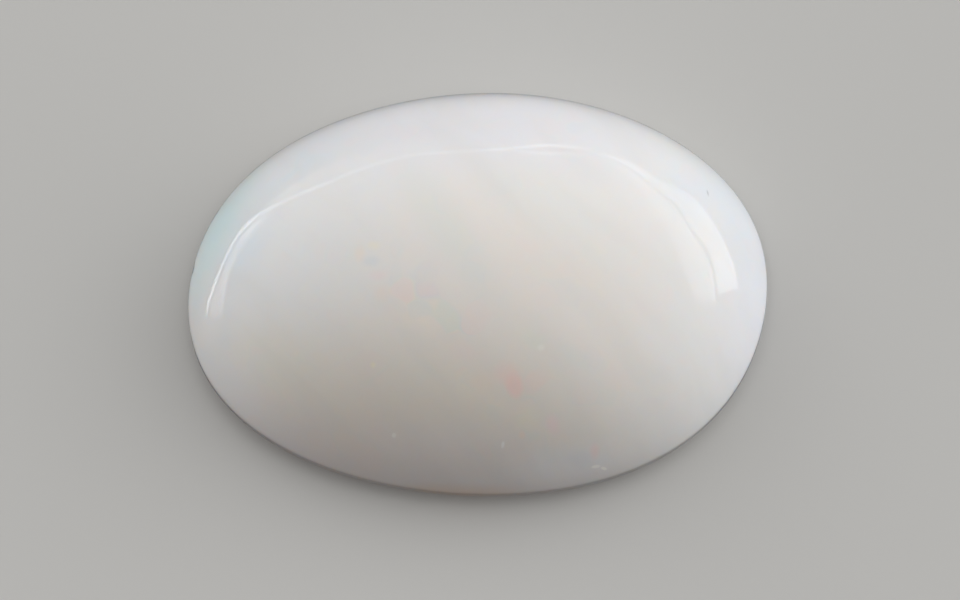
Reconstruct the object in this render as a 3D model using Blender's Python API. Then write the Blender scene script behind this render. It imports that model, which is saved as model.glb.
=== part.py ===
"""A polished oval opal cabochon: one piece of stone with a low dome, a narrow girdle wall and a flat back.

Metres, +Z up. The stone lies on its flat back, centred on the origin, with its long axis along X.
"""

import math

import bmesh
import bpy

# The finished stone, edge to edge.
LENGTH = 0.0140
WIDTH = 0.0099
THICKNESS = 0.0038

# The girdle is the straight wall that a bezel grips. Both its corners are broken so that they don't chip.
GIRDLE_WALL = 0.00040
BACK_CHAMFER = 0.00025
GIRDLE_ROUND = 0.00010

# The dome is a cap of a sphere, stretched to the oval. It stops short of a hemisphere by this much.
DOME_ARC = math.radians(74)

# The oval was cut by hand. Each ripple swells the outline in so many lobes: how many, by what share
# of the radius, and where one of them is highest, in degrees from +X towards +Y.
OUTLINE_RIPPLES = (
    (1, 0.0092, -43),
    (2, 0.0092, 44),
    (3, 0.0092, 70),
    (4, 0.0092, 37),
    (5, 0.0021, 10),
    (6, 0.0015, 20),
)

# How finely the surface is faceted.
SEGMENTS = 112
DOME_RINGS = 20
ROUND_STEPS = 3

STONE_COLOUR = (0.83, 0.82, 0.79, 1.0)
STONE_ROUGHNESS = 0.05
STONE_IOR = 1.45

GIRDLE_TOP = BACK_CHAMFER + GIRDLE_WALL


def clear_scene():
    """Removes whatever the file came with."""
    for obj in list(bpy.data.objects):
        bpy.data.objects.remove(obj, do_unlink=True)


def dome_point(share):
    """A point of the dome's arc, for a dome of unit radius and unit height, from the rim (0) to the apex (1)."""
    angle = DOME_ARC * (1 - share)
    rim = math.cos(DOME_ARC)
    return (math.sin(angle) / math.sin(DOME_ARC), 0, (math.cos(angle) - rim) / (1 - rim))


def turn_dome(bm):
    """Turns the arc about the vertical axis into a round dome."""
    arc = [bm.verts.new(dome_point(i / DOME_RINGS)) for i in range(DOME_RINGS + 1)]
    edges = [bm.edges.new(pair) for pair in zip(arc, arc[1:])]
    bmesh.ops.spin(
        bm,
        geom=arc + edges,
        cent=(0, 0, 0),
        axis=(0, 0, 1),
        angle=2 * math.pi,
        steps=SEGMENTS,
        use_merge=True,
    )
    bmesh.ops.remove_doubles(bm, verts=bm.verts, dist=1e-6)


def ripple(angle):
    """The outline's radius in this direction, as a share of the plain oval's."""
    return 1 + sum(
        share * math.cos(lobes * (angle - math.radians(crest)))
        for lobes, share, crest in OUTLINE_RIPPLES
    )


def fit_span(verts, axis, low, high):
    """Stretches the vertices along one axis so that they reach exactly from low to high."""
    now_low = min(v.co[axis] for v in verts)
    now_high = max(v.co[axis] for v in verts)
    for v in verts:
        v.co[axis] = low + (v.co[axis] - now_low) * (high - low) / (now_high - now_low)


def cut_to_outline(bm):
    """Shapes the round dome to the hand-cut oval, at its real size and place."""
    for v in bm.verts:
        swell = ripple(math.atan2(v.co.y, v.co.x))
        v.co.x *= swell
        v.co.y *= swell
    fit_span(bm.verts, 0, -LENGTH / 2, LENGTH / 2)
    fit_span(bm.verts, 1, -WIDTH / 2, WIDTH / 2)
    fit_span(bm.verts, 2, GIRDLE_TOP, THICKNESS)


def add_girdle_and_back(bm):
    """Drops a straight wall from the dome's rim and closes it with the flat back."""
    rim = [e for e in bm.edges if e.is_boundary]
    wall = bmesh.ops.extrude_edge_only(bm, edges=rim)["geom"]
    for v in (g for g in wall if isinstance(g, bmesh.types.BMVert)):
        v.co.z = 0
    foot = [g for g in wall if isinstance(g, bmesh.types.BMEdge) and g.is_boundary]
    bmesh.ops.edgeloop_fill(bm, edges=foot)
    bmesh.ops.recalc_face_normals(bm, faces=bm.faces)


def level_edges(bm, height):
    """The edges that lie level at this height."""
    return [e for e in bm.edges if all(abs(v.co.z - height) < 1e-7 for v in e.verts)]


def break_corners(bm):
    """Rounds the corner under the dome and chamfers the one round the back."""
    bmesh.ops.bevel(
        bm,
        geom=level_edges(bm, GIRDLE_TOP),
        offset=GIRDLE_ROUND,
        offset_type="OFFSET",
        affect="EDGES",
        segments=ROUND_STEPS,
        profile=0.5,
        material=-1,
    )
    bmesh.ops.bevel(
        bm,
        geom=level_edges(bm, 0),
        offset=BACK_CHAMFER,
        offset_type="OFFSET",
        affect="EDGES",
        segments=1,
        profile=0.5,
        material=-1,
    )


def opal_material():
    """Milky white opal with a glassy polish."""
    material = bpy.data.materials.new("milky_opal")
    material.use_nodes = True
    shader = material.node_tree.nodes["Principled BSDF"]
    shader.inputs["Base Color"].default_value = STONE_COLOUR
    shader.inputs["Roughness"].default_value = STONE_ROUGHNESS
    shader.inputs["Metallic"].default_value = 0.0
    shader.inputs["IOR"].default_value = STONE_IOR
    return material


def make_stone():
    """Builds the stone as one closed solid."""
    bm = bmesh.new()
    turn_dome(bm)
    cut_to_outline(bm)
    add_girdle_and_back(bm)
    break_corners(bm)
    mesh = bpy.data.meshes.new("opal_cabochon")
    bm.to_mesh(mesh)
    bm.free()
    mesh.shade_smooth()
    mesh.set_sharp_from_angle(angle=math.radians(35))
    mesh.materials.append(opal_material())
    stone = bpy.data.objects.new("opal_cabochon", mesh)
    bpy.context.scene.collection.objects.link(stone)
    return stone


def main():
    clear_scene()
    make_stone()


main()
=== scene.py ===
"""The looks of a polished oval opal cabochon that lies on its flat back.

Metres, +Z up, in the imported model's own frame: the stone's long axis is X, its dome points up, and the
side that the camera shows uppermost is +Y.
"""

from __future__ import annotations

import logging
import math
from dataclasses import dataclass, field
from enum import Enum

import bmesh
import bpy
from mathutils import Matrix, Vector, interpolate, noise
from mathutils.bvhtree import BVHTree

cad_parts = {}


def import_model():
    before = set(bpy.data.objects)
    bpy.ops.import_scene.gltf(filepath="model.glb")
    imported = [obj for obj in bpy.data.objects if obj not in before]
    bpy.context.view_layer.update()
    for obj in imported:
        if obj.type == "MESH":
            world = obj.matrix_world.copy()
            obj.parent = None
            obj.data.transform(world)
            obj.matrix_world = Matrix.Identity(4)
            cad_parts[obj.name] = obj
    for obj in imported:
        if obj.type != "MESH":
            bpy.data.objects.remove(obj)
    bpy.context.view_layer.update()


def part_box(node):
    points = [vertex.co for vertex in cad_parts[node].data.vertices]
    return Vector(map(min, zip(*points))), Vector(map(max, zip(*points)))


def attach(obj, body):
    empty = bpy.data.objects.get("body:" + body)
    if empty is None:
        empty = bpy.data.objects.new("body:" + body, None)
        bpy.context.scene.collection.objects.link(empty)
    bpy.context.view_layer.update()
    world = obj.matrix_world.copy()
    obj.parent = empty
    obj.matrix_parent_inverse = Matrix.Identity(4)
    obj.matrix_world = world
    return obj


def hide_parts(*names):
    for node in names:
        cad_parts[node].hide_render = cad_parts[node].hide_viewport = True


log = logging.getLogger("opal_cabochon")

Tree = bpy.types.NodeTree
Node = bpy.types.Node
Socket = bpy.types.NodeSocket

MM = 0.001
PHOTO_FRAME = (960, 600)
NODE = "opal_cabochon"
FLECK_DEPTH = 0.8


def linear(code: str) -> tuple[float, float, float, float]:
    """Turns an sRGB hex colour to the linear values that the shaders take.

    Args:
        code: the colour as "#RRGGBB".

    Returns:
        Linear red, green and blue, and an alpha of 1.
    """
    shares = (int(code[i : i + 2], 16) / 255 for i in (1, 3, 5))
    red, green, blue = (s / 12.92 if s <= 0.04045 else ((s + 0.055) / 1.055) ** 2.4 for s in shares)
    return (red, green, blue, 1.0)


def add_node(
    tree: Tree,
    kind: str,
    settings: dict[str, object] | None = None,
    inputs: dict[str | int, object] | None = None,
) -> Node:
    """Adds a node with its settings, and links or sets its inputs.

    Args:
        tree: the node tree that it goes in.
        kind: the node's type, without "ShaderNode".
        settings: the node's own properties, by name.
        inputs: for each input, by name or number, another node's output to link, or a plain value.

    Returns:
        The new node.
    """
    node = tree.nodes.new("ShaderNode" + kind)
    for name, value in (settings or {}).items():
        setattr(node, name, value)
    for key, value in (inputs or {}).items():
        if isinstance(value, Socket):
            tree.links.new(value, node.inputs[key])
        else:
            node.inputs[key].default_value = value
    return node


def direction(azimuth: float, elevation: float) -> Vector:
    """The unit vector towards a place in the studio.

    Args:
        azimuth: degrees from +Y towards +X.
        elevation: degrees above the horizon.

    Returns:
        The direction.
    """
    a, e = math.radians(azimuth), math.radians(elevation)
    return Vector((math.sin(a) * math.cos(e), math.cos(a) * math.cos(e), math.sin(e)))


# The stone.


@dataclass(frozen=True)
class Ripple:
    """One swelling of the hand-cut outline.

    lobes is how many times it goes round, share its height as a share of the radius, and crest where
    one of its lobes is highest, in degrees from +X towards +Y.
    """

    lobes: int
    share: float
    crest: float

    def at(self, angle: float) -> float:
        """How much it adds to the radius at this angle, as a share."""
        return self.share * math.cos(self.lobes * (angle - math.radians(self.crest)))


@dataclass(frozen=True)
class Wave:
    """An unevenness that hand polishing leaves in the dome: its length and its height."""

    length: float
    height: float

    def at(self, place: Vector) -> float:
        """Its height at this place."""
        return self.height * noise.noise(place / self.length)


@dataclass(frozen=True)
class Chip:
    """A tiny chip out of the girdle.

    angle is where it is, in degrees from +X towards +Y, height is above the back, and it fades with the
    distance from its middle, in shares of its reach.
    """

    angle: float
    reach: float
    depth: float
    height: float
    steepness: float = 2.0
    ends_at: float = 2.0

    def depth_at(self, away: float) -> float:
        """How deep it is this far from its middle."""
        share = away / self.reach
        return self.depth * math.exp(-self.steepness * share**2) if share < self.ends_at else 0.0


@dataclass
class Outline:
    """The oval seen from above, cut by hand, fitted to the box of the node that it stands for."""

    low: Vector
    high: Vector
    ripples: tuple[Ripple, ...] = (
        Ripple(1, 0.0092, -43),
        Ripple(2, 0.0092, 44),
        Ripple(3, 0.0092, 70),
        Ripple(4, 0.0092, 37),
        Ripple(5, 0.0021, 10),
        Ripple(6, 0.0015, 20),
    )
    samples: int = 720
    bearing: float = 0.01

    def __post_init__(self) -> None:
        """Measures the rippled circle, so that it can be stretched to the box."""
        round_trip = [self._unit(2 * math.pi * i / self.samples, 1.0) for i in range(self.samples)]
        self.unit_low = [min(p[i] for p in round_trip) for i in range(2)]
        self.unit_high = [max(p[i] for p in round_trip) for i in range(2)]

    def _unit(self, angle: float, share: float) -> tuple[float, float]:
        """A point of the rippled circle before it is stretched."""
        radius = share * (1 + sum(r.at(angle) for r in self.ripples))
        return (radius * math.cos(angle), radius * math.sin(angle))

    def point(self, angle: float, share: float = 1.0, inset: float = 0.0) -> Vector:
        """A point on or inside the oval.

        Args:
            angle: its angle on the circle that the oval is stretched from, in radians.
            share: how far out it lies, from the middle (0) to the girdle (1).
            inset: how much further in it lies, square to the girdle.

        Returns:
            Its X and Y in metres.
        """
        unit = self._unit(angle, share)
        shares = [(unit[i] - self.unit_low[i]) / (self.unit_high[i] - self.unit_low[i]) for i in range(2)]
        place = Vector(self.low[i] + shares[i] * (self.high[i] - self.low[i]) for i in range(2))
        if inset:
            along = self.point(angle + self.bearing) - self.point(angle - self.bearing)
            place += Vector((-along.y, along.x)).normalized() * inset
        return place


@dataclass
class Cabochon:
    """The stone: a low dome over a straight girdle wall, with a chamfer round its flat back."""

    low: Vector
    high: Vector
    wall: float = 0.40 * MM
    chamfer: float = 0.25 * MM
    crease_round: float = 0.095 * MM
    edge_round: float = 0.045 * MM
    dome_arc: float = math.radians(74)
    facets: int = 128
    crease_steps: int = 6
    wall_steps: int = 4
    edge_steps: int = 4
    chamfer_steps: int = 3
    waves: tuple[Wave, ...] = (Wave(4.2 * MM, 0.010 * MM), Wave(1.9 * MM, 0.0022 * MM))
    wave_fade: float = 0.55 * MM
    chips: tuple[Chip, ...] = (Chip(173.5, 0.13 * MM, 0.035 * MM, 0.62 * MM),)
    face_order: tuple[float, float, float] = (1.0, 10.0, 100.0)
    outline: Outline = field(init=False)

    def __post_init__(self) -> None:
        """Works out the outline and the heights that follow from the sizes."""
        self.outline = Outline(self.low, self.high)
        self.girdle_top = self.low.z + self.chamfer + self.wall
        self.dome_rise = self.high.z - self.girdle_top
        rim = math.cos(self.dome_arc)
        self.dome_stop = math.acos(rim + (1 - rim) * self.crease_round / self.dome_rise)

    def build(self) -> bpy.types.Object:
        """Models the stone as one closed mesh.

        Returns:
            The stone's object, at the origin, with no material yet.
        """
        bm = bmesh.new()
        angles = bm.verts.layers.float.new("angle")
        self._raise_dome(bm, angles)
        ring = [e for e in bm.edges if e.is_boundary]
        for place in self._side_rings():
            ring = self._drop_ring(bm, ring, angles, place)
        for edge in ring:
            edge.smooth = False
        bmesh.ops.edgeloop_fill(bm, edges=ring)
        bm.faces.sort(key=self._rank)
        bmesh.ops.recalc_face_normals(bm, faces=bm.faces)
        self._polish_by_hand(bm)
        self._chip_girdle(bm, angles)
        bm.verts.layers.float.remove(angles)
        mesh = bpy.data.meshes.new("opal_stone")
        bm.to_mesh(mesh)
        bm.free()
        mesh.polygons.foreach_set("use_smooth", [True] * len(mesh.polygons))
        stone = bpy.data.objects.new("opal_stone", mesh)
        bpy.context.scene.collection.objects.link(stone)
        return stone

    def _dome_place(self, angle: float, arc: float) -> Vector:
        """A point of the dome.

        Args:
            angle: its angle round the stone, in radians.
            arc: its arc from the apex, in radians.

        Returns:
            Its place.
        """
        rim = math.cos(self.dome_arc)
        flat = self.outline.point(angle, math.sin(arc) / math.sin(self.dome_arc))
        return Vector((*flat, self.girdle_top + self.dome_rise * (math.cos(arc) - rim) / (1 - rim)))

    def _raise_dome(self, bm: bmesh.types.BMesh, angles: bmesh.types.BMLayerItem) -> None:
        """Makes the dome from the upper half of a cube that is blown up to a ball, so that it has no pole.

        Args:
            bm: the empty mesh.
            angles: the layer that keeps each vertex's angle round the girdle.
        """
        bmesh.ops.create_cube(bm, size=2)
        bmesh.ops.subdivide_edges(bm, edges=bm.edges[:], cuts=self.facets - 1, use_grid_fill=True)
        bmesh.ops.bisect_plane(
            bm,
            geom=bm.verts[:] + bm.edges[:] + bm.faces[:],
            dist=1e-5,
            plane_co=(0, 0, 0),
            plane_no=(0, 0, 1),
            clear_inner=True,
        )
        for v in bm.verts:
            ball = Vector(math.tan(c * math.pi / 4) for c in v.co).normalized()
            arc = math.acos(min(1.0, ball.z)) * self.dome_stop / (math.pi / 2)
            v[angles] = math.atan2(ball.y, ball.x)
            v.co = self._dome_place(v[angles], arc)

    def _side_rings(self) -> list[Vector]:
        """The rings under the dome, from the crease down to the edge of the flat back.

        Returns:
            For each ring, its share of the oval, how much further in it lies, and its height.
        """
        low, crease, edge = self.low.z, self.crease_round, self.edge_round
        slant = edge * math.sqrt(0.5)
        dome_share = math.sin(self.dome_stop) / math.sin(self.dome_arc)
        crease_start = Vector((dome_share, 0, self.girdle_top + crease))
        crease_end = Vector((1, 0, self.girdle_top - crease))
        wall_end = Vector((1, 0, low + self.chamfer + edge))
        chamfer_start = Vector((1, slant, low + self.chamfer - slant))
        chamfer_end = Vector((1, self.chamfer - slant, low + slant))
        back_start = Vector((1, self.chamfer + edge, low))
        return [
            *self._bend(crease_start, Vector((1, 0, self.girdle_top)), crease_end, self.crease_steps),
            *self._bend(crease_end, (crease_end + wall_end) / 2, wall_end, self.wall_steps),
            *self._bend(wall_end, Vector((1, 0, low + self.chamfer)), chamfer_start, self.edge_steps),
            *self._bend(chamfer_start, (chamfer_start + chamfer_end) / 2, chamfer_end, self.chamfer_steps),
            *self._bend(chamfer_end, Vector((1, self.chamfer, low)), back_start, self.edge_steps),
        ]

    @staticmethod
    def _bend(start: Vector, corner: Vector, end: Vector, steps: int) -> list[Vector]:
        """The points after start of a curve that leaves it towards the corner and comes to the end."""
        shares = [(i + 1) / steps for i in range(steps)]
        return [start * (1 - t) ** 2 + corner * (2 * t * (1 - t)) + end * t**2 for t in shares]

    def _drop_ring(
        self,
        bm: bmesh.types.BMesh,
        ring: list[bmesh.types.BMEdge],
        angles: bmesh.types.BMLayerItem,
        place: Vector,
    ) -> list[bmesh.types.BMEdge]:
        """Extrudes the open edge down to the next ring.

        Args:
            bm: the mesh.
            ring: the open edge.
            angles: the layer with each vertex's angle.
            place: the ring's share of the oval, inset and height.

        Returns:
            The new open edge.
        """
        made = bmesh.ops.extrude_edge_only(bm, edges=ring)["geom"]
        share, inset, height = place
        for v in (g for g in made if isinstance(g, bmesh.types.BMVert)):
            v.co = (*self.outline.point(v[angles], share, inset), height)
        return [g for g in made if isinstance(g, bmesh.types.BMEdge) and g.is_boundary]

    def _rank(self, face: bmesh.types.BMFace) -> float:
        """The face's place in an order that is the same each run, which extruding alone doesn't keep."""
        return face.calc_center_median().dot(self.face_order)

    def _polish_by_hand(self, bm: bmesh.types.BMesh) -> None:
        """Leaves the dome a few microns uneven, fading out towards the girdle, as hand polishing does.

        Args:
            bm: the mesh, which keeps its height.
        """
        for v in bm.verts:
            fade = min(1.0, max(0.0, (v.co.z - self.girdle_top) / self.wave_fade))
            if fade:
                v.co += v.normal * fade * sum(wave.at(v.co) for wave in self.waves)
        dome_top = max(v.co.z for v in bm.verts)
        stretch = self.dome_rise / (dome_top - self.girdle_top)
        for v in bm.verts:
            if v.co.z > self.girdle_top:
                v.co.z = self.girdle_top + (v.co.z - self.girdle_top) * stretch

    def _chip_girdle(self, bm: bmesh.types.BMesh, angles: bmesh.types.BMLayerItem) -> None:
        """Presses the tiny chips into the girdle.

        Args:
            bm: the mesh.
            angles: the layer with each vertex's angle.
        """
        for chip in self.chips:
            middle = Vector((*self.outline.point(math.radians(chip.angle)), self.low.z + chip.height))
            for v in bm.verts:
                depth = chip.depth_at((v.co - middle).length)
                if depth:
                    inward = self.outline.point(v[angles], 1.0, 1.0) - self.outline.point(v[angles])
                    v.co += Vector((*inward, 0)) * depth

    def dress(self, stone: bpy.types.Object, finish: MilkyOpal) -> None:
        """Gives the stone its finish and tells the frame what it stands for.

        Args:
            stone: the stone.
            finish: what it is made of.
        """
        stone.data.materials.append(finish.make())
        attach(stone, "root")
        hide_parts(NODE)


# Its finish.


class Fire(Enum):
    """The colours that play in the opal, and the white of its small bright specks."""

    RED = "#FFE2DB"
    ORANGE = "#FBE6D6"
    YELLOW = "#F6F0DC"
    GREEN = "#E2EEE2"
    AQUA = "#DDEBEA"
    BLUE = "#DCE1EA"
    PINK = "#F6E6E4"
    WHITE = "#FFFFFA"


@dataclass(frozen=True)
class Patch:
    """A soft-edged part of the stone.

    place and reach are in millimetres from the middle of the back, turn is in degrees about the
    vertical, and core is the share of its reach that has its full strength.
    """

    place: tuple[float, float, float]
    reach: tuple[float, float, float]
    turn: float = 0.0
    core: float = 0.0

    def mask(self, tree: Tree, millimetres: Socket, strength: float) -> Socket:
        """Adds the nodes that tell how much of the patch a point has.

        Args:
            tree: the material's nodes.
            millimetres: the point.
            strength: what the patch has in its middle.

        Returns:
            A value from 0 outside the patch to its strength in the middle.
        """
        local = add_node(
            tree,
            "Mapping",
            {"vector_type": "TEXTURE"},
            {
                "Vector": millimetres,
                "Location": self.place,
                "Rotation": (0, 0, math.radians(self.turn)),
                "Scale": self.reach,
            },
        )
        away = add_node(tree, "VectorMath", {"operation": "LENGTH"}, {0: local.outputs[0]})
        fade = add_node(
            tree,
            "MapRange",
            {"interpolation_type": "SMOOTHSTEP"},
            {
                "Value": away.outputs["Value"],
                "From Min": self.core,
                "From Max": 1.0,
                "To Min": strength,
                "To Max": 0.0,
            },
        )
        return fade.outputs["Result"]


@dataclass(frozen=True)
class Tint:
    """A colour that a part of the stone takes, and how much of it."""

    colour: str
    strength: float
    patch: Patch


def tint_with_painted_light(
    colour: str,
    strength: float,
    place: tuple[float, float, float],
    reach: tuple[float, float, float],
    turn: float = 0.0,
    core: float = 0.1,
) -> Tint:
    """A wide, weak tint of the milky body, partly its own colour and partly painted light and shade, by its
    colour, how much of it there is, and its patch.
    """
    return Tint(colour, strength, Patch(place, reach, turn, core))


def flash(
    fire: Fire,
    strength: float,
    place: tuple[float, float, float],
    reach: tuple[float, float],
    turn: float = 0.0,
    core: float = 0.15,
) -> Tint:
    """One fleck of the opal's fire, or a small bright white speck.

    Args:
        fire: its colour.
        strength: how much of that colour its middle has.
        place: its middle, in millimetres from the middle of the back.
        reach: its half length and half width, in millimetres.
        turn: degrees about the vertical.
        core: the share of its reach that has its full strength.

    Returns:
        The tint, deep enough to be seen wherever the dome's surface is.
    """
    return Tint(fire.value, strength, Patch(place, (*reach, FLECK_DEPTH), turn, core))


@dataclass(frozen=True)
class MilkyOpal:
    """Precious white opal, cut and polished by hand.

    Light soaks about a millimetre into its milky silica and comes out softened and a little warmer, under
    a surface as glassy as its low refractive index allows. The back is only lapped, which leaves it satin,
    with straight marks. Real ones are a few hundredths of a millimetre apart, and these are drawn coarser
    so that they show. Lengths are in millimetres.
    """

    milk: str = "#EEEFEF"
    cream: str = "#F1EBE2"
    shade: str = "#E4E3E0"
    ior: float = 1.45
    glow_depth: float = 1.0
    glow_hues: tuple[float, float, float] = (1.0, 0.86, 0.74)
    polish: tuple[float, float] = (0.024, 0.036)
    lapped: float = 0.27
    lapped_below: float = 0.30
    polished_above: float = 0.40
    cloud_size: float = 3.6
    swirl_size: float = 2.2
    swirl: float = 0.9
    cloud_band: tuple[float, float] = (0.35, 0.65)
    cloud_strength: float = 0.2
    veil_turn: float = -48.0
    veil_size: tuple[float, float, float] = (5.0, 1.0, 3.0)
    veil_band: tuple[float, float] = (0.45, 0.75)
    veil_strength: float = 0.30
    domain_size: float = 0.55
    domain_blend: float = 0.55
    dull_share: float = 0.35
    hue_span: tuple[float, float] = (0.2, 0.8)
    ripple_size: float = 0.7
    ripple_height: float = 0.00022
    lap_spacing: float = 0.09
    lap_length: float = 5.4
    lap_depth: float = 0.004
    lap_turn: float = 0.4
    # These tints are partly the body's own colour and partly painted light and shade: cooler over the top
    # half and lighter along the top rim, darker at the two ends, and a warm, darker band along the bottom
    # rim that paints in shade and the warmth of light that has come through the stone.
    tints_with_painted_light: tuple[Tint, ...] = (
        tint_with_painted_light("#F1EADF", 0.85, (-0.7, -3.2, 2.6), (6.6, 3.9, 4.0), -4),
        tint_with_painted_light("#F4EBE3", 0.6, (1.0, 0.4, 3.2), (6.0, 4.2, 3.0), -10),
        tint_with_painted_light("#EAEAEF", 0.8, (0.3, 3.6, 2.2), (7.5, 2.6, 2.6)),
        tint_with_painted_light("#F4F3F7", 0.85, (-0.5, 5.2, 0.9), (7.6, 2.6, 2.2), core=0.3),
        tint_with_painted_light("#EAEBF1", 0.8, (7.2, -0.2, 0.8), (2.6, 4.6, 2.6), core=0.2),
        tint_with_painted_light("#E4E7E7", 0.8, (-7.0, -1.2, 0.8), (2.4, 2.6, 2.2), core=0.2),
        tint_with_painted_light("#E4EAF1", 0.7, (6.2, 1.5, 1.2), (1.2, 2.6, 1.6), 25),
        tint_with_painted_light("#D3EEF1", 0.64, (-6.15, 1.45, 1.05), (1.0, 2.7, 1.4), -25),
        tint_with_painted_light("#EBEAE9", 0.85, (-0.5, -5.1, 0.7), (6.2, 2.05, 1.9), core=0.2),
        tint_with_painted_light("#F7F8FA", 0.5, (2.1, -4.4, 1.4), (2.1, 0.8, 1.2), 5),
        tint_with_painted_light("#F2F0F3", 0.3, (-1.0, -4.0, 2.1), (3.2, 0.8, 1.2)),
        tint_with_painted_light("#EADBCC", 0.6, (-0.6, -4.95, 0.6), (2.2, 0.4, 0.7), core=0.2),
        tint_with_painted_light("#E6E9E5", 0.5, (-0.7, 0.9, 3.6), (3.2, 0.85, 3.0), -57),
        tint_with_painted_light("#ECEEEC", 0.5, (1.9, 1.5, 3.4), (2.8, 1.5, 3.0), -30),
        tint_with_painted_light("#F5EFE9", 0.5, (3.5, -2.3, 2.9), (2.3, 1.5, 3.0), -45),
        tint_with_painted_light("#F2EEE1", 0.5, (-4.6, -2.2, 2.2), (2.2, 1.3, 3.0), -35),
        tint_with_painted_light("#FCF1E5", 0.5, (-1.3, -1.2, 3.4), (1.0, 0.6, 1.0), -10),
        tint_with_painted_light("#E2EBF3", 0.6, (-5.6, 0.8, 2.1), (1.0, 1.9, 1.4), -25),
        tint_with_painted_light("#E9F2FA", 0.6, (-4.5, 2.8, 1.9), (2.2, 0.9, 1.4), 34),
        tint_with_painted_light("#F1F1EF", 0.6, (-6.45, -0.95, 1.4), (0.6, 0.9, 0.8)),
        tint_with_painted_light("#E2E9F2", 0.5, (5.1, 2.1, 2.0), (1.1, 1.3, 1.2), -35),
    )
    flashes: tuple[Tint, ...] = (
        flash(Fire.BLUE, 0.32, (-2.54, 0.14, 3.5), (0.30, 0.20)),
        flash(Fire.ORANGE, 0.26, (-2.81, 0.35, 3.5), (0.20, 0.34)),
        flash(Fire.YELLOW, 0.40, (-2.47, 0.53, 3.5), (0.26, 0.16)),
        flash(Fire.PINK, 0.45, (-2.38, -0.22, 3.5), (0.30, 0.20)),
        flash(Fire.ORANGE, 0.26, (-2.26, -0.62, 3.5), (0.30, 0.30)),
        flash(Fire.PINK, 0.30, (-1.21, -0.61, 3.6), (0.60, 0.30), -15),
        flash(Fire.PINK, 0.30, (-0.35, -2.00, 3.3), (0.50, 0.35), -30),
        flash(Fire.YELLOW, 0.80, (-2.49, -2.29, 3.1), (0.10, 0.10)),
        flash(Fire.WHITE, 0.40, (1.50, -1.93, 3.4), (0.13, 0.11)),
        flash(Fire.GREEN, 0.20, (1.30, -1.75, 3.4), (0.55, 0.35), -20),
        flash(Fire.RED, 0.45, (0.72, -2.55, 3.2), (0.50, 0.40), -20),
        flash(Fire.RED, 1.00, (0.87, -2.78, 3.1), (0.27, 0.40), 15, 0.4),
        flash(Fire.ORANGE, 0.25, (0.14, -2.70, 3.1), (0.42, 0.42)),
        flash(Fire.YELLOW, 0.30, (1.15, -3.45, 2.6), (0.42, 0.46), -30),
        flash(Fire.PINK, 0.80, (1.78, -3.60, 2.4), (0.24, 0.34), 20),
        flash(Fire.GREEN, 0.25, (1.32, -3.86, 2.3), (0.34, 0.16)),
        flash(Fire.ORANGE, 0.40, (1.06, -3.84, 2.3), (0.13, 0.12)),
        flash(Fire.BLUE, 0.26, (2.45, -4.28, 1.5), (0.50, 0.30), -10),
        flash(Fire.AQUA, 0.10, (1.75, -4.20, 1.7), (0.55, 0.26), -10),
        flash(Fire.PINK, 0.75, (2.80, -4.10, 1.6), (0.18, 0.24)),
        flash(Fire.AQUA, 0.18, (2.30, -2.10, 3.1), (0.70, 0.35), -35),
        # Small bright white specks painted into the body's colour: partly dust, partly painted glints of
        # tiny pits.
        flash(Fire.WHITE, 0.65, (-2.00, -3.81, 2.1), (0.07, 0.07), core=0.4),
        flash(Fire.WHITE, 0.75, (0.60, -4.04, 2.1), (0.05, 0.10), -15, 0.4),
        flash(Fire.WHITE, 1.00, (2.83, -4.39, 1.2), (0.15, 0.04), 10, 0.4),
        flash(Fire.WHITE, 1.00, (3.03, -4.41, 1.1), (0.10, 0.04), -5, 0.4),
    )
    inclusions: tuple[Tint, ...] = (
        Tint("#B2B4B8", 0.5, Patch((5.54, 2.22, 1.7), (0.03, 0.13, 0.4), 12, 0.2)),
    )
    fire_streak: Patch = Patch((0.0, -1.95, 3.0), (4.6, 1.3, 3.0), -41, 0.1)
    fire_strength: float = 0.28
    fire_elsewhere: float = 0.08

    def make(self) -> bpy.types.Material:
        """Makes the material.

        Returns:
            A material that follows the object's own coordinates.
        """
        material = bpy.data.materials.new("milky_opal_hand_polished")
        material.use_nodes = True
        tree = material.node_tree
        place = add_node(tree, "TexCoord").outputs["Object"]
        scaled = add_node(tree, "VectorMath", {"operation": "SCALE"}, {0: place, "Scale": 1 / MM})
        millimetres = scaled.outputs[0]
        swirled = self._swirl(tree, millimetres)
        colour = self._body(tree, millimetres, swirled)
        colour = self._play_of_colour(tree, swirled, colour)
        for tint in self.flashes + self.inclusions:
            colour = self._lay(tree, colour, tint, millimetres)
        lapped = self._lapped(tree, millimetres)
        shader = tree.nodes["Principled BSDF"]
        tree.links.new(colour, shader.inputs["Base Color"])
        tree.links.new(self._roughness(tree, swirled, lapped), shader.inputs["Roughness"])
        tree.links.new(self._relief(tree, millimetres, lapped), shader.inputs["Normal"])
        shader.inputs["IOR"].default_value = self.ior
        shader.inputs["Subsurface Weight"].default_value = 1.0
        shader.inputs["Subsurface Radius"].default_value = self.glow_hues
        shader.inputs["Subsurface Scale"].default_value = self.glow_depth * MM
        return material

    def _swirl(self, tree: Tree, millimetres: Socket) -> Socket:
        """Bends space gently, so that nothing inside the opal has a straight or regular edge.

        Args:
            tree: the material's nodes.
            millimetres: the point.

        Returns:
            The point in the bent space.
        """
        stirred = {"Vector": millimetres, "Scale": 1 / self.swirl_size, "Detail": 2.0}
        stir = add_node(tree, "TexNoise", {}, stirred).outputs["Color"]
        centred = add_node(tree, "VectorMath", {"operation": "SUBTRACT"}, {0: stir, 1: (0.5, 0.5, 0.5)})
        bend = {0: centred.outputs[0], 1: (self.swirl,) * 3, 2: millimetres}
        return add_node(tree, "VectorMath", {"operation": "MULTIPLY_ADD"}, bend).outputs[0]

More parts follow.
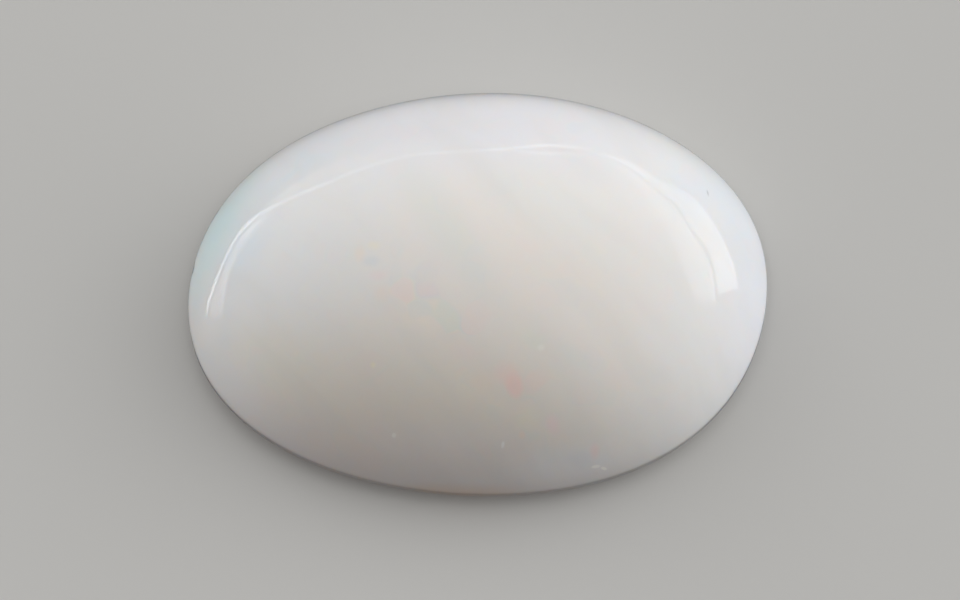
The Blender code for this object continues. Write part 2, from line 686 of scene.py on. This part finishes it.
    def _lay(self, tree: Tree, under: Socket, tint: Tint, millimetres: Socket) -> Socket:
        """Lays a tint over the colour under it.

        Args:
            tree: the material's nodes.
            under: the colour under it.
            tint: the tint.
            millimetres: the point.

        Returns:
            The colour with the tint on it.
        """
        mask = tint.patch.mask(tree, millimetres, tint.strength)
        both = {"Factor": mask, "A": under, "B": linear(tint.colour)}
        return add_node(tree, "Mix", {"data_type": "RGBA"}, both).outputs["Result"]

    def _body(self, tree: Tree, millimetres: Socket, swirled: Socket) -> Socket:
        """Makes the milky body: clouds of cream, wider tints that hold painted light and shade as well as
        its own colour, and soft slanting veils.

        Args:
            tree: the material's nodes.
            millimetres: the point.
            swirled: the point in the bent space.

        Returns:
            The body's colour.
        """
        cloud = {"Vector": swirled, "Scale": 1 / self.cloud_size, "Detail": 4.0, "Roughness": 0.55}
        clouds = add_node(tree, "TexNoise", {}, cloud).outputs["Fac"]
        low, high = self.cloud_band
        share = add_node(
            tree,
            "MapRange",
            {},
            {"Value": clouds, "From Min": low, "From Max": high, "To Max": self.cloud_strength},
        )
        creamy = {"Factor": share.outputs[0], "A": linear(self.milk), "B": linear(self.cream)}
        colour = add_node(tree, "Mix", {"data_type": "RGBA"}, creamy).outputs["Result"]
        # These wide tints lay painted light and shade into the colour along with the body's own tints.
        for tint in self.tints_with_painted_light:
            colour = self._lay(tree, colour, tint, millimetres)
        slanted = add_node(
            tree,
            "Mapping",
            {"vector_type": "TEXTURE"},
            {"Vector": swirled, "Rotation": (0, 0, math.radians(self.veil_turn)), "Scale": self.veil_size},
        )
        drawn = {"Vector": slanted.outputs[0], "Scale": 1.0, "Detail": 2.5}
        veils = add_node(tree, "TexNoise", {}, drawn).outputs["Fac"]
        low, high = self.veil_band
        veil = add_node(
            tree,
            "MapRange",
            {"interpolation_type": "SMOOTHSTEP"},
            {"Value": veils, "From Min": low, "From Max": high, "To Max": self.veil_strength},
        )
        veiled = {"Factor": veil.outputs[0], "A": colour, "B": linear(self.shade)}
        return add_node(tree, "Mix", {"data_type": "RGBA"}, veiled).outputs["Result"]

    def _play_of_colour(self, tree: Tree, swirled: Socket, colour: Socket) -> Socket:
        """Adds the faint patchwork of domains that each diffract one colour.

        Args:
            tree: the material's nodes.
            swirled: the point in the bent space.
            colour: the body's colour.

        Returns:
            The colour with the faint fire in it.
        """
        domains = add_node(
            tree,
            "TexVoronoi",
            {"feature": "SMOOTH_F1"},
            {"Vector": swirled, "Scale": 1 / self.domain_size, "Smoothness": self.domain_blend},
        )
        parts = add_node(tree, "SeparateColor", {}, {"Color": domains.outputs["Color"]})
        hues = add_node(tree, "ValToRGB", {}, {"Fac": parts.outputs["Red"]})
        colours = [fire for fire in Fire if fire is not Fire.WHITE]
        stops = hues.color_ramp.elements
        while len(stops) < len(colours):
            stops.new(0.5)
        low, high = self.hue_span
        for number, fire in enumerate(colours):
            stops[number].position = low + (high - low) * number / (len(colours) - 1)
            stops[number].color = linear(fire.value)
        bright = add_node(
            tree,
            "MapRange",
            {"interpolation_type": "SMOOTHSTEP"},
            {"Value": parts.outputs["Green"], "From Min": self.dull_share},
        )
        streak = self.fire_streak.mask(tree, swirled, self.fire_strength)
        strength = add_node(tree, "Math", {"operation": "ADD"}, {0: streak, 1: self.fire_elsewhere})
        shares = {0: strength.outputs[0], 1: bright.outputs[0]}
        amount = add_node(tree, "Math", {"operation": "MULTIPLY"}, shares)
        fiery = {"Factor": amount.outputs[0], "A": colour, "B": hues.outputs["Color"]}
        return add_node(tree, "Mix", {"data_type": "RGBA"}, fiery).outputs["Result"]

    def _lapped(self, tree: Tree, millimetres: Socket) -> Socket:
        """Tells the lapped back and chamfer from the polished girdle and dome, by height.

        Args:
            tree: the material's nodes.
            millimetres: the point.

        Returns:
            A value of 1 where the stone is lapped and 0 where it is polished.
        """
        height = add_node(tree, "SeparateXYZ", {}, {0: millimetres}).outputs["Z"]
        band = {"Value": height, "From Min": self.lapped_below, "From Max": self.polished_above}
        fade = add_node(
            tree, "MapRange", {"interpolation_type": "SMOOTHSTEP"}, {**band, "To Min": 1.0, "To Max": 0.0}
        )
        return fade.outputs["Result"]

    def _roughness(self, tree: Tree, swirled: Socket, lapped: Socket) -> Socket:
        """Varies the polish a little over the dome, and leaves the back merely lapped.

        Args:
            tree: the material's nodes.
            swirled: the point in the bent space.
            lapped: how much of the lapped finish it has.

        Returns:
            The roughness.
        """
        uneven = {"Vector": swirled, "Scale": 1 / self.cloud_size, "Detail": 3.0}
        wear = add_node(tree, "TexNoise", {}, uneven).outputs["Fac"]
        low, high = self.polish
        polish = add_node(tree, "MapRange", {}, {"Value": wear, "To Min": low, "To Max": high})
        both = {"Factor": lapped, "A": polish.outputs[0], "B": self.lapped}
        return add_node(tree, "Mix", {"data_type": "FLOAT"}, both).outputs["Result"]

    def _relief(self, tree: Tree, millimetres: Socket, lapped: Socket) -> Socket:
        """Adds the polish's slight ripple, and the lap's straight marks on the back.

        Args:
            tree: the material's nodes.
            millimetres: the point.
            lapped: how much of the lapped finish it has.

        Returns:
            The bumped normal.
        """
        uneven = {"Vector": millimetres, "Scale": 1 / self.ripple_size, "Detail": 1.0}
        ripple = add_node(tree, "TexNoise", {}, uneven).outputs["Fac"]
        height = {"Strength": 1.0, "Distance": self.ripple_height * MM, "Height": ripple}
        rippled = add_node(tree, "Bump", {}, height).outputs[0]
        marks_size = (self.lap_length, self.lap_spacing, 1)
        combed = add_node(
            tree,
            "Mapping",
            {"vector_type": "TEXTURE"},
            {"Vector": millimetres, "Rotation": (0, 0, self.lap_turn), "Scale": marks_size},
        )
        marks = add_node(tree, "TexNoise", {}, {"Vector": combed.outputs[0], "Scale": 1.0, "Detail": 3.0})
        depth = {"Strength": lapped, "Distance": self.lap_depth * MM, "Height": marks.outputs["Fac"]}
        return add_node(tree, "Bump", {}, {**depth, "Normal": rippled}).outputs[0]


@dataclass(frozen=True)
class MattBoard:
    """A plain sheet of matt board for the stone to lie on, evenly lit and with no highlight."""

    colour: str = "#CFCECB"
    roughness: float = 0.9

    def make(self) -> bpy.types.Material:
        """Makes the material.

        Returns:
            The material, the same all over.
        """
        material = bpy.data.materials.new("matt_board")
        material.use_nodes = True
        shader = material.node_tree.nodes["Principled BSDF"]
        shader.inputs["Base Color"].default_value = linear(self.colour)
        shader.inputs["Roughness"].default_value = self.roughness
        shader.inputs["Specular IOR Level"].default_value = 0.0
        return material


# The studio.


@dataclass(frozen=True)
class Glow:
    """A soft glow of the studio.

    It has the place where it is brightest, in degrees, its strength, and the share of it that the polish
    mirrors. One that is brightest above the horizon is a wall's, which ends at the table's edge. One that
    is brightest below it is a card's, which stands low beside the stone. narrowness is how fast it fades.
    """

    azimuth: float
    elevation: float
    strength: float
    mirrored: float
    colour: str = "#FFFFFF"
    narrowness: float = 12.0

    def level(self, tree: Tree, towards: Socket, above: Socket, glossy: Socket) -> Socket:
        """Adds the nodes that tell how bright the glow is in a direction.

        Args:
            tree: the world's nodes.
            towards: the direction.
            above: 1 where the direction is above the horizon and 0 where it is below.
            glossy: 1 where the polish mirrors the glow and 0 elsewhere.

        Returns:
            The brightness, which fades with the angle from the glow's middle.
        """
        middle = {0: towards, 1: direction(self.azimuth, self.elevation)}
        facing = add_node(tree, "VectorMath", {"operation": "DOT_PRODUCT"}, middle)
        share = add_node(tree, "MapRange", {}, {"Value": facing.outputs["Value"], "From Min": -1.0})
        fade = add_node(tree, "Math", {"operation": "POWER"}, {0: share.outputs[0], 1: self.narrowness})
        mirrored = {"Factor": glossy, "A": self.strength, "B": self.strength * self.mirrored}
        strength = add_node(tree, "Mix", {"data_type": "FLOAT"}, mirrored)
        shares = {0: fade.outputs[0], 1: strength.outputs[0]}
        level = add_node(tree, "Math", {"operation": "MULTIPLY"}, shares)
        if self.elevation >= 0:
            cut = {0: level.outputs[0], 1: above}
            level = add_node(tree, "Math", {"operation": "MULTIPLY"}, cut)
        return level.outputs[0]


@dataclass(frozen=True)
class Rib:
    """A cut across a reflection that the photograph shows in the polish.

    outer and inner are the pixels where its two ends show, in the photograph's frame, and shine is how
    much light the reflection adds at each of them.
    """

    outer: tuple[float, float]
    inner: tuple[float, float]
    shine: tuple[float, float]


@dataclass(frozen=True)
class Dab:
    """A place on a thin line of light in the polish: its pixel, and how wide and how bright the line is."""

    x: float
    y: float
    width: float
    shine: float


@dataclass(frozen=True)
class Lamp:
    """A lamp that shows in the polish, described by its reflection, rib by rib."""

    name: str
    ribs: tuple[Rib, ...]

    def draw(self, cuts: int) -> bmesh.types.BMesh:
        """Draws the lamp's ribbon flat, in the photograph's frame.

        Args:
            cuts: how many times each of its edges is cut, so that it can bend.

        Returns:
            The ribbon, with a layer named "glow" that holds what its reflection adds at each point.
        """
        bm = bmesh.new()
        glow = bm.verts.layers.float.new("glow")
        row: list[bmesh.types.BMVert] = []
        for rib in self.ribs:
            if row:
                made = bmesh.ops.extrude_edge_only(bm, edges=[bm.edges.get(row)])["geom"]
                fresh = {g for g in made if isinstance(g, bmesh.types.BMVert)}
                row = [next(e.other_vert(v) for e in v.link_edges if e.other_vert(v) in fresh) for v in row]
            else:
                row = [bm.verts.new() for _ in range(2)]
                bm.edges.new(row)
            for v, end, shine in zip(row, (rib.outer, rib.inner), rib.shine):
                v.co = (*end, 0)
                v[glow] = shine
        bmesh.ops.subdivide_edges(bm, edges=bm.edges[:], cuts=cuts, use_grid_fill=True)
        return bm


@dataclass(frozen=True)
class LampLight:
    """The cool white light of a lamp, laid over what is mirrored behind it."""

    colour: str = "#F7F9FF"

    def make(self, name: str) -> bpy.types.Material:
        """Makes the material.

        Args:
            name: the lamp's name.

        Returns:
            A clear material that shines as strongly as the ribbon's "glow" says.
        """
        material = bpy.data.materials.new(name)
        material.use_nodes = True
        tree = material.node_tree
        tree.nodes.clear()
        level = add_node(tree, "Attribute", {"attribute_name": "glow"})
        lit = {"Color": linear(self.colour), "Strength": level.outputs["Fac"]}
        shine = add_node(tree, "Emission", {}, lit)
        clear = add_node(tree, "BsdfTransparent")
        both = add_node(tree, "AddShader", {}, {0: shine.outputs[0], 1: clear.outputs[0]})
        add_node(tree, "OutputMaterial", {}, {"Surface": both.outputs[0]})
        return material


def thin_line(name: str, *dabs: Dab) -> Lamp:
    """Makes a lamp that shows as a thin line.

    Args:
        name: its name.
        dabs: the places that the line runs through.

    Returns:
        The lamp, with a rib across the line at each place.
    """
    ribs = []
    for number, dab in enumerate(dabs):
        before, after = dabs[max(0, number - 1)], dabs[min(len(dabs) - 1, number + 1)]
        side = Vector((after.y - before.y, before.x - after.x)).normalized() * dab.width / 2
        outer, inner = (dab.x + side.x, dab.y + side.y), (dab.x - side.x, dab.y - side.y)
        ribs.append(Rib(outer, inner, (dab.shine, dab.shine)))
    return Lamp(name, tuple(ribs))


SHOULDER_LINE = thin_line(
    "shoulder_line",
    Dab(206.5, 317, 1.2, 0.04),
    Dab(207, 313, 2.0, 0.13),
    Dab(208.5, 302, 2.6, 0.19),
    Dab(210.3, 297, 2.8, 0.22),
    Dab(213.5, 287, 2.8, 0.23),
    Dab(218.3, 275, 2.8, 0.19),
    Dab(223.5, 262, 2.6, 0.15),
    Dab(228, 253, 2.6, 0.14),
    Dab(232, 245, 2.8, 0.18),
    Dab(237.7, 236, 3.0, 0.17),
    Dab(243.7, 228, 3.2, 0.19),
    Dab(249.7, 222, 3.4, 0.20),
    Dab(256.7, 216.2, 3.4, 0.14),
    Dab(262, 213, 3.4, 0.12),
    Dab(268, 209.8, 3.4, 0.095),
    Dab(275, 205.8, 3.2, 0.075),
    Dab(282, 202.3, 3.0, 0.045),
    Dab(290, 198.5, 3.2, 0.06),
    Dab(298, 194.7, 3.2, 0.05),
    Dab(304, 192.5, 2.6, 0.055),
    Dab(312, 188.8, 3.4, 0.08),
    Dab(322, 185.3, 3.2, 0.06),
    Dab(335, 180, 3.0, 0.035),
    Dab(350, 172.3, 3.4, 0.045),
    Dab(358, 169.7, 3.4, 0.045),
    Dab(370, 165.5, 3.4, 0.03),
    Dab(380, 163.3, 3.4, 0.045),
    Dab(390, 160.3, 3.4, 0.05),
    Dab(400, 157.0, 3.2, 0.05),
    Dab(415, 154.5, 3.0, 0.03),
    Dab(432, 153, 3.0, 0.04),
    Dab(450, 152.1, 2.8, 0.05),
    Dab(463, 151.6, 2.8, 0.04),
    Dab(480, 151, 2.6, 0.045),
    Dab(500, 149.3, 2.8, 0.085),
    Dab(512, 148, 2.8, 0.055),
    Dab(520, 147.3, 2.8, 0.075),
    Dab(530, 146.4, 3.0, 0.09),
    Dab(540, 145.5, 3.0, 0.10),
    Dab(550, 145, 3.0, 0.095),
    Dab(557, 145.2, 3.0, 0.095),
    Dab(565, 146.3, 3.0, 0.08),
    Dab(575, 147.4, 2.8, 0.05),
    Dab(583, 148.3, 2.6, 0.03),
    Dab(592, 150, 2.4, 0.0),
)
CREST_LINE = thin_line(
    "crest_line",
    Dab(511, 149.8, 2.0, 0.0),
    Dab(520, 151.3, 2.8, 0.045),
    Dab(530, 152.3, 3.2, 0.055),
    Dab(540, 153.6, 3.4, 0.06),
    Dab(550, 154.2, 3.4, 0.055),
    Dab(557, 153.8, 3.2, 0.06),
    Dab(565, 153.6, 3.0, 0.045),
    Dab(575, 154.2, 3.0, 0.03),
    Dab(583, 156, 3.0, 0.02),
    Dab(592, 158, 3.0, 0.0),
)
LEFT_BAND = Lamp(
    "left_band",
    (
        Rib((209.4, 317), (221.0, 318), (0.02, 0.02)),
        Rib((209.8, 312), (222.5, 313), (0.055, 0.055)),
        Rib((211.0, 303), (223.8, 304), (0.065, 0.07)),
        Rib((213.0, 297), (224.8, 298.5), (0.07, 0.075)),
        Rib((216.2, 288), (225.8, 291), (0.075, 0.08)),
        Rib((221.0, 276), (228.0, 279), (0.085, 0.075)),
        Rib((226.0, 263), (232.0, 267), (0.09, 0.055)),
        Rib((230.5, 254), (236.5, 258), (0.09, 0.03)),
        Rib((234.5, 246.5), (242.0, 251), (0.095, 0.012)),
        Rib((240.5, 238), (248.5, 243.5), (0.11, 0.0)),
        Rib((246.3, 230.5), (255.0, 237.5), (0.115, 0.0)),
        Rib((252.3, 224.6), (261.0, 232), (0.105, 0.0)),
        Rib((259.0, 218.8), (266.0, 226.5), (0.09, 0.0)),
        Rib((264.0, 216.0), (269.0, 222), (0.06, 0.0)),
        Rib((269.0, 213.5), (272.0, 217), (0.03, 0.0)),
    ),
)
RIGHT_BAND = Lamp(
    "right_band",
    (
        Rib((598, 153.5), (598, 154.5), (0.0, 0.0)),
        Rib((608, 154.8), (607.5, 157.5), (0.05, 0.05)),
        Rib((617, 157), (616, 160), (0.08, 0.075)),
        Rib((632, 163), (628, 166), (0.08, 0.07)),
        Rib((645, 170), (638, 173), (0.08, 0.06)),
        Rib((655, 178), (647, 181.5), (0.075, 0.055)),
        Rib((665, 184), (656, 189), (0.07, 0.05)),
        Rib((678, 188), (666, 196.5), (0.06, 0.055)),
        Rib((688, 193), (675, 203), (0.07, 0.055)),
        Rib((697, 201), (681, 211), (0.075, 0.055)),
        Rib((705, 210), (687, 221), (0.09, 0.06)),
        Rib((711, 219), (692, 229.5), (0.09, 0.065)),
        Rib((717, 228.5), (698.5, 237), (0.09, 0.07)),
        Rib((722, 237), (704.5, 243.5), (0.09, 0.075)),
        Rib((726, 246), (708.5, 251), (0.105, 0.08)),
        Rib((730, 255), (712, 259.5), (0.115, 0.085)),
        Rib((734, 265), (714.5, 268.5), (0.12, 0.09)),
        Rib((737, 278), (716.8, 280.5), (0.105, 0.095)),
        Rib((738.3, 287), (718.0, 292.5), (0.10, 0.09)),
        Rib((738.6, 289), (718.2, 294.5), (0.05, 0.05)),
    ),
)
INNER_BAND = Lamp(
    "inner_band",
    (
        Rib((604, 157.5), (600, 160), (0.0, 0.0)),
        Rib((616, 161.5), (611, 168), (0.03, 0.0)),
        Rib((627, 168), (622, 176), (0.04, 0.005)),
        Rib((637.5, 175), (632, 184), (0.045, 0.01)),
        Rib((646.5, 183), (640, 193), (0.05, 0.015)),
        Rib((655.5, 190.5), (647, 201), (0.055, 0.02)),
        Rib((665, 198.5), (653, 212), (0.055, 0.02)),
        Rib((674, 205), (659, 219), (0.06, 0.02)),
        Rib((680, 213), (663.5, 225), (0.06, 0.02)),
        Rib((685.5, 223), (668, 231.5), (0.06, 0.02)),
        Rib((690, 231.5), (671, 238), (0.065, 0.025)),
        Rib((695.5, 239.5), (674.5, 245.5), (0.075, 0.025)),
        Rib((701, 246.5), (677, 252), (0.075, 0.03)),
        Rib((705.5, 254), (680, 259.5), (0.075, 0.03)),
        Rib((709, 262), (683, 266), (0.065, 0.035)),
        Rib((711.5, 271), (685.5, 273.5), (0.065, 0.04)),
        Rib((713.5, 283), (689, 282.5), (0.07, 0.05)),
        Rib((714.8, 295), (692.5, 293), (0.07, 0.055)),
        Rib((715.5, 301), (696.5, 300.5), (0.055, 0.045)),
        Rib((716, 304), (697.5, 303), (0.0, 0.0)),
    ),
)
INNER_EDGE = thin_line(
    "inner_edge",
    Dab(709.5, 265, 1.6, 0.0),
    Dab(711.8, 273, 2.0, 0.03),
    Dab(713.0, 282, 2.4, 0.05),
    Dab(713.8, 292, 2.4, 0.05),
    Dab(714.6, 301, 2.0, 0.02),
)
HIGH_ARC = thin_line(
    "high_arc",
    Dab(344, 142, 2.0, 0.0),
    Dab(358, 137.5, 2.4, 0.02),
    Dab(372, 134.5, 2.4, 0.025),
    Dab(388, 132, 2.4, 0.02),
    Dab(400, 130.5, 2.0, 0.0),
)


class Polish:
    """Follows the camera's lines of sight to the stone, and on from its polished surface."""

    def __init__(self, stone: bpy.types.Object, camera: bpy.types.Object, ior: float) -> None:
        """Takes in the stone's surface and the camera's place.

        Args:
            stone: the finished stone, at the origin.
            camera: the camera.
            ior: the stone's refractive index.
        """
        self.mesh = stone.data
        self.surface = BVHTree.FromPolygons(
            [v.co for v in self.mesh.vertices], [tuple(p.vertices) for p in self.mesh.polygons]
        )
        self.camera = camera
        self.ior = ior

    def bounce(self, pixel: Vector) -> tuple[Vector, Vector, float]:
        """Looks at the stone through one pixel of the photograph's frame.

        Args:
            pixel: how far across and down it is.

        Returns:
            The spot on the stone, the direction that is seen mirrored there, and how squarely it is seen.

        Raises:
            ValueError: nothing of the stone is seen there.
        """
        wide, high = PHOTO_FRAME
        lens = self.camera.data
        ray = Vector((pixel.x - wide / 2, high / 2 - pixel.y, -lens.lens / lens.sensor_width * wide))
        sight = (self.camera.rotation_euler.to_matrix() @ ray).normalized()
        spot, _, index, _ = self.surface.ray_cast(self.camera.location, sight)
        if index is None:
            raise ValueError(f"no stone at pixel {pixel.x:.0f}, {pixel.y:.0f}")
        corners = [self.mesh.vertices[i] for i in self.mesh.polygons[index].vertices]
        shares = interpolate.poly_3d_calc([c.co for c in corners], spot)
        normal = sum((c.normal * share for c, share in zip(corners, shares)), Vector()).normalized()
        facing = -sight.dot(normal)
        return spot, sight + 2 * facing * normal, facing

    def reflected(self, facing: float) -> float:
        """Works out Fresnel's equations.

        Args:
            facing: how squarely the polish is seen, from 0 to 1.

        Returns:
            The share of light that it reflects.
        """
        g = math.sqrt(self.ior**2 - 1 + facing**2)
        across = (g - facing) / (g + facing)
        along = (facing * (g + facing) - 1) / (facing * (g - facing) + 1)
        return across**2 * (1 + along**2) / 2


@dataclass
class Studio:
    """The floor, the soft light, the lamps that show in the polish, and the camera."""

    stone: bpy.types.Object
    stone_low: Vector
    ior: float
    floor_size: float = 3.0
    floor_gap: float = 0.003 * MM
    backdrop: str = "#C9C9C8"
    horizon_blur: float = 0.04
    glows: tuple[Glow, ...] = (
        Glow(-50, 10, 2.12, 0.58),
        Glow(70, 10, 3.50, 0.0),
        Glow(0, 70, 1.30, 0.0),
        Glow(0, -15, 0.11, 0.0),
        Glow(-110, -15, 0.91, 0.66),
        Glow(110, -15, 1.00, 0.33),
        Glow(-140, -15, 0.10, 1.0, "#FF7C00"),
    )
    lamps: tuple[Lamp, ...] = (
        SHOULDER_LINE,
        CREST_LINE,
        LEFT_BAND,
        RIGHT_BAND,
        INNER_BAND,
        INNER_EDGE,
        HIGH_ARC,
    )
    lamp_distance: float = 0.16
    lamp_clearance: float = 0.35 * MM
    lamp_cuts: int = 3
    lens: float = 300.0
    sensor: float = 36.0
    tilt: float = 12.0
    frame_width: float = 23.19 * MM
    aim: tuple[float, float] = (0.054 * MM, -0.054 * MM)
    aim_height: float = 0.65 * MM
    near_clip: float = 0.01

    def build(self) -> None:
        """Makes everything that isn't the stone."""
        self._lay_floor()
        self._light_walls()
        polish = Polish(self.stone, self._place_camera(), self.ior)
        for lamp in self.lamps:
            self._hang(lamp, polish)

    def _lay_floor(self) -> None:
        """Lays the board just under the stone: pale to look at, but neither lighting nor shading the stone.

        The stone has soft light of its own from low at both sides, which a pale board's would drown.
        """
        bm = bmesh.new()
        bmesh.ops.create_grid(bm, x_segments=1, y_segments=1, size=self.floor_size / 2)
        bmesh.ops.translate(bm, verts=bm.verts, vec=(0, 0, self.stone_low.z - self.floor_gap))
        mesh = bpy.data.meshes.new("floor")
        bm.to_mesh(mesh)
        bm.free()
        mesh.materials.append(MattBoard().make())
        floor = bpy.data.objects.new("floor", mesh)
        floor.visible_diffuse = floor.visible_glossy = floor.visible_shadow = False
        bpy.context.scene.collection.objects.link(floor)

    def _light_walls(self) -> None:
        """Lets the studio glow softly all round, though the camera sees only a plain backdrop."""
        world = bpy.data.worlds.new("studio_walls")
        bpy.context.scene.world = world
        world.use_nodes = True
        tree = world.node_tree
        towards = add_node(tree, "TexCoord").outputs["Generated"]
        height = add_node(tree, "SeparateXYZ", {}, {0: towards}).outputs["Z"]
        above = add_node(
            tree,
            "MapRange",
            {"interpolation_type": "SMOOTHSTEP"},
            {"Value": height, "From Min": -self.horizon_blur, "From Max": self.horizon_blur},
        ).outputs["Result"]
        ray = add_node(tree, "LightPath")
        adding = {"data_type": "RGBA", "blend_type": "ADD", "clamp_factor": False}
        light: Socket | tuple[float, float, float, float] = (0.0, 0.0, 0.0, 1.0)
        for glow in self.glows:
            level = glow.level(tree, towards, above, ray.outputs["Is Glossy Ray"])
            both = {"Factor": level, "A": light, "B": linear(glow.colour)}
            light = add_node(tree, "Mix", adding, both).outputs["Result"]
        seen = {"Factor": ray.outputs["Is Camera Ray"], "A": light, "B": linear(self.backdrop)}
        shown = add_node(tree, "Mix", {"data_type": "RGBA"}, seen).outputs["Result"]
        tree.links.new(shown, tree.nodes["Background"].inputs["Color"])

    def _place_camera(self) -> bpy.types.Object:
        """Looks down on the stone, a little from its near side, through a long lens.

        Returns:
            The camera.
        """
        data = bpy.data.cameras.new("camera")
        data.lens, data.sensor_width = self.lens, self.sensor
        data.clip_start = self.near_clip
        camera = bpy.data.objects.new("camera", data)
        bpy.context.scene.collection.objects.link(camera)
        tilt = math.radians(self.tilt)
        back = Vector((0, -math.sin(tilt), math.cos(tilt)))
        up = Vector((0, math.cos(tilt), math.sin(tilt)))
        across, rise = self.aim
        target = Vector((across, 0, 0)) + up * rise + back * self.aim_height
        camera.location = target + back * (self.frame_width * self.lens / self.sensor)
        camera.rotation_euler = (tilt, 0, 0)
        bpy.context.scene.camera = camera
        return camera

    def _hang(self, lamp: Lamp, polish: Polish) -> None:
        """Hangs a lamp where its reflection in the polish is the one that the photograph shows.

        Each point of its flat ribbon is carried out along the line of sight that the stone reflects there.
        The lamp lights nothing else.

        Args:
            lamp: the lamp.
            polish: the stone's polished surface.
        """
        bm = lamp.draw(self.lamp_cuts)
        glow = bm.verts.layers.float["glow"]
        floor = self.stone_low.z + self.lamp_clearance
        for v in bm.verts:
            spot, away, facing = polish.bounce(v.co)
            v[glow] /= polish.reflected(facing)
            reach = self.lamp_distance
            if away.z < 0:
                reach = min(reach, max(spot.z - floor, self.lamp_clearance / 2) / -away.z)
            v.co = spot + away * reach
        mesh = bpy.data.meshes.new(lamp.name)
        bm.to_mesh(mesh)
        bm.free()
        mesh.materials.append(LampLight().make(lamp.name))
        ribbon = bpy.data.objects.new(lamp.name, mesh)
        ribbon.visible_camera = ribbon.visible_diffuse = ribbon.visible_shadow = False
        ribbon.visible_transmission = ribbon.visible_volume_scatter = False
        bpy.context.scene.collection.objects.link(ribbon)


def main() -> None:
    """Builds the stone and the studio round it."""
    logging.basicConfig(level=logging.INFO, format="%(name)s: %(message)s")
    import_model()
    low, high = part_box(NODE)
    finish = MilkyOpal()
    cabochon = Cabochon(low, high)
    stone = cabochon.build()
    cabochon.dress(stone, finish)
    log.info("%s: %d faces", stone.name, len(stone.data.polygons))
    Studio(stone, low, finish.ior).build()
    bpy.context.scene.view_settings.view_transform = "Standard"


if __name__ == "__main__":
    main()
